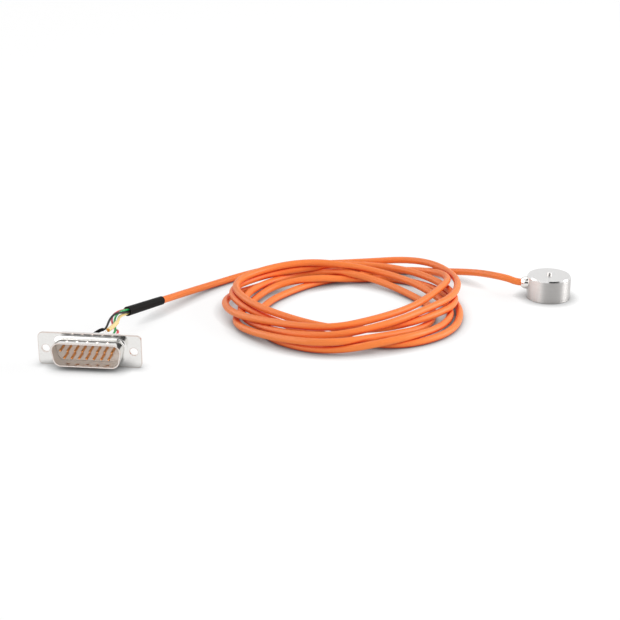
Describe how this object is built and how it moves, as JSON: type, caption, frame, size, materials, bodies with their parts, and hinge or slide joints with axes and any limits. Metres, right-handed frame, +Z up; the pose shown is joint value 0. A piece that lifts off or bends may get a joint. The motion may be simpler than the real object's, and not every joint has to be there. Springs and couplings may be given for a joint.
{
  "type": "button load cell",
  "caption": "Miniature cylindrical button load cell with a domed side ferrule, an orange sensor cable lying in a loose coil, and colour-coded wires soldered to a bare D-shaped plug.",
  "frame": {"origin": "centre of the load cell's base, on the surface it stands on", "axes": "+Z up along the cell's axis and its load button; the cable leaves the cell along -X; the plug's pins point along -Y"},
  "size_m": [0.2002, 0.1271, 0.0126],
  "materials": {
    "stainless_steel": "fine turned stainless steel",
    "gauge_film": "polyimide gauge backing",
    "tinned_copper": "tinned copper and solder",
    "board_laminate": "glass-epoxy board with solder mask",
    "resistor_ceramic": "chip resistor",
    "nickel_plate": "polished nickel plate",
    "grommet_rubber": "potting rubber",
    "red_insulation": "extruded wire insulation",
    "green_insulation": "extruded wire insulation",
    "black_insulation": "extruded wire insulation",
    "yellow_insulation": "extruded wire insulation",
    "orange_jacket": "extruded polyurethane jacket",
    "heat_shrink": "shrunk polyolefin sleeve",
    "cream_sleeve": "cream insulating sleeve",
    "tin_plate": "tin plate over drawn steel",
    "insulator_plastic": "moulded insulator",
    "gold_plate": "gold flash over turned brass"
  },
  "bodies": {
    "root": {"cell_body": "stainless_steel", "base_cover": "stainless_steel", "strain_gauge_1": "gauge_film", "strain_gauge_2": "gauge_film", "strain_gauge_3": "gauge_film", "strain_gauge_4": "gauge_film", "gauge_leads": "tinned_copper", "tinned_ends": "tinned_copper", "terminal_board": "board_laminate", "trim_resistors": "resistor_ceramic", "cable_ferrule": "nickel_plate", "core_grommet": "grommet_rubber", "core_tail_red": "red_insulation", "wire_red": "red_insulation", "core_tail_green": "green_insulation", "wire_green": "green_insulation", "core_tail_black": "black_insulation", "wire_black": "black_insulation", "core_tail_yellow": "yellow_insulation", "wire_yellow": "yellow_insulation", "cable_coil": "orange_jacket", "cable_lead_cell": "orange_jacket", "cable_lead_plug": "orange_jacket", "heat_shrink_sleeve": "heat_shrink", "black_wire_sleeve": "heat_shrink", "yellow_wire_sleeve": "cream_sleeve", "front_shell": "tin_plate", "rear_shell": "tin_plate", "front_insulator": "insulator_plastic", "rear_insulator": "insulator_plastic", "contact_01": "gold_plate", "contact_02": "gold_plate", "contact_03": "gold_plate", "contact_04": "gold_plate", "contact_05": "gold_plate", "contact_06": "gold_plate", "contact_07": "gold_plate", "contact_08": "gold_plate", "contact_09": "gold_plate", "contact_10": "gold_plate", "contact_11": "gold_plate", "contact_12": "gold_plate", "contact_13": "gold_plate", "contact_14": "gold_plate", "contact_15": "gold_plate"}
  },
  "joints": []
}
